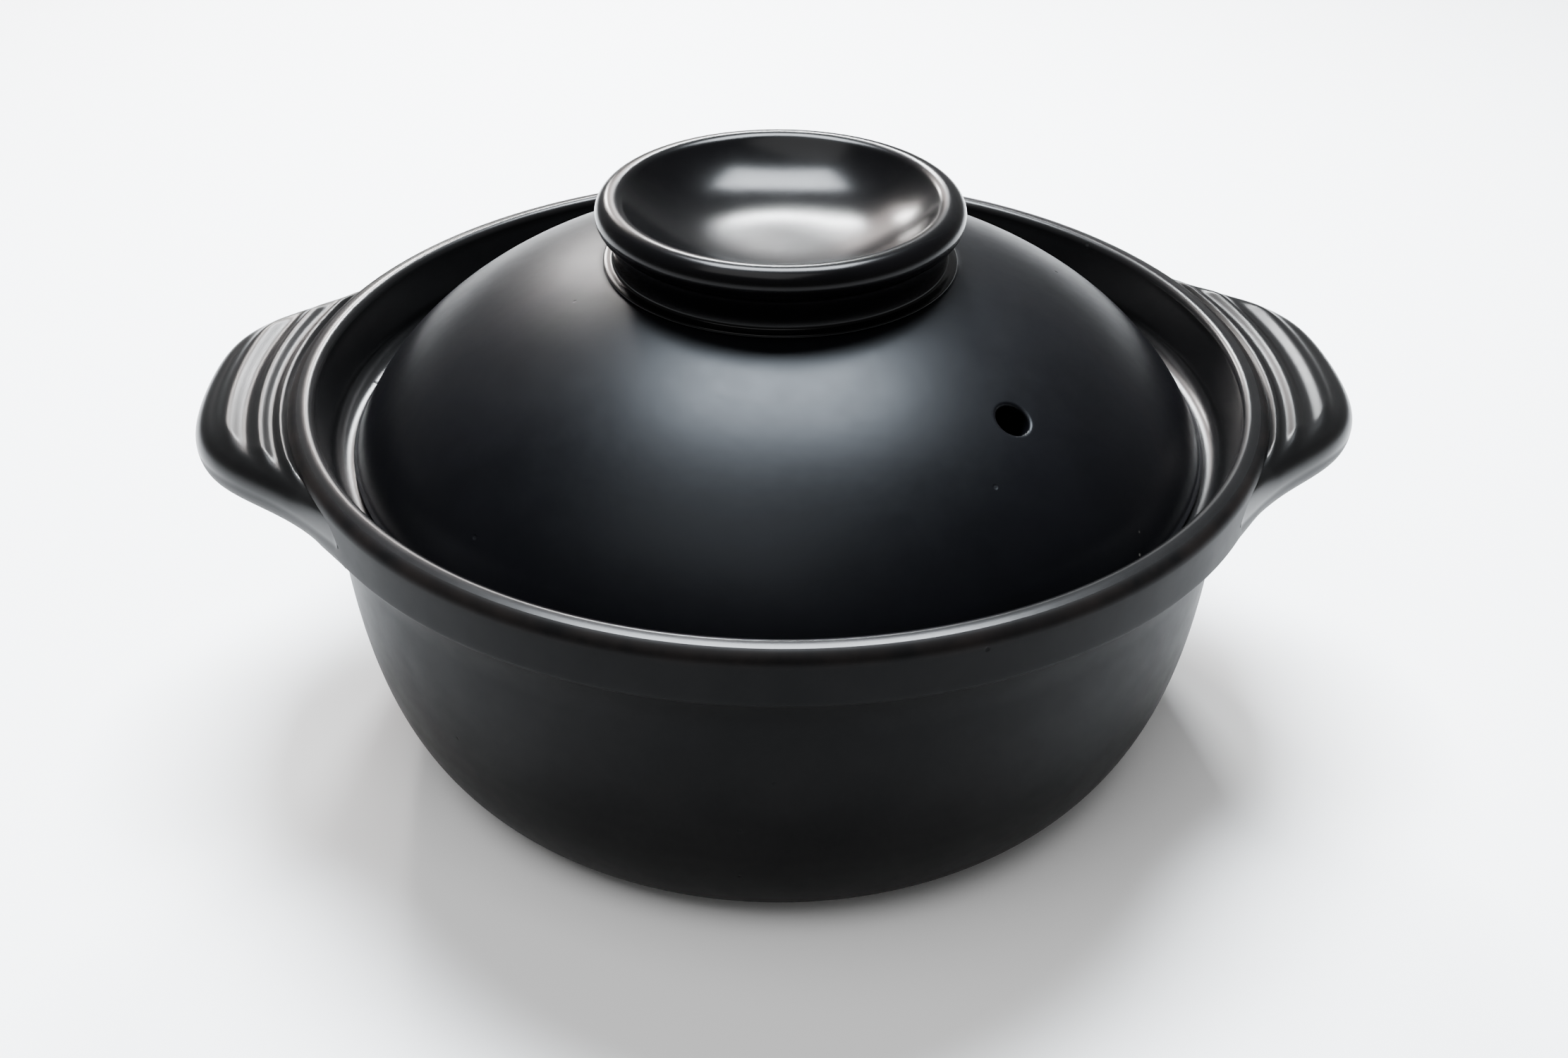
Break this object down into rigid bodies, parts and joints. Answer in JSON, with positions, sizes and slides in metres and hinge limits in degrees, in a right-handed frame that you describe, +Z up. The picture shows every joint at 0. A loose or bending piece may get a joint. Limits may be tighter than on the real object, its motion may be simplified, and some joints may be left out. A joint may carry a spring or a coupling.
{
  "type": "lidded clay casserole",
  "caption": "Round black-glazed clay cooking pot with ribbed lug handles and a domed lid that lifts off a ledge inside the rim; ring knob and steam vent.",
  "frame": {"origin": "centre of the face that the pot stands on, at the bottom of the foot ring", "axes": "+Z up along the pot's axis and the way the lid lifts, +X through the right handle, -Y to the front"},
  "size_m": [0.285, 0.24, 0.1423],
  "materials": {
    "pot_glaze": "satin black glaze, a little brown where it thins at the rim",
    "handle_glaze": "glossier black glaze with fine pits",
    "lid_glaze": "satin blue-black glaze",
    "knob_glaze": "gloss black glaze"
  },
  "bodies": {
    "pot": {"pot_bowl": "pot_glaze", "handle_left": "handle_glaze", "handle_right": "handle_glaze"},
    "lid": {"lid_dome": "lid_glaze", "lid_knob": "knob_glaze"}
  },
  "joints": [
    {"name": "lid_lift", "type": "slide", "parent": "pot", "child": "lid", "axis": [0, 0, 1], "range_m": [0, 0.12]}
  ]
}
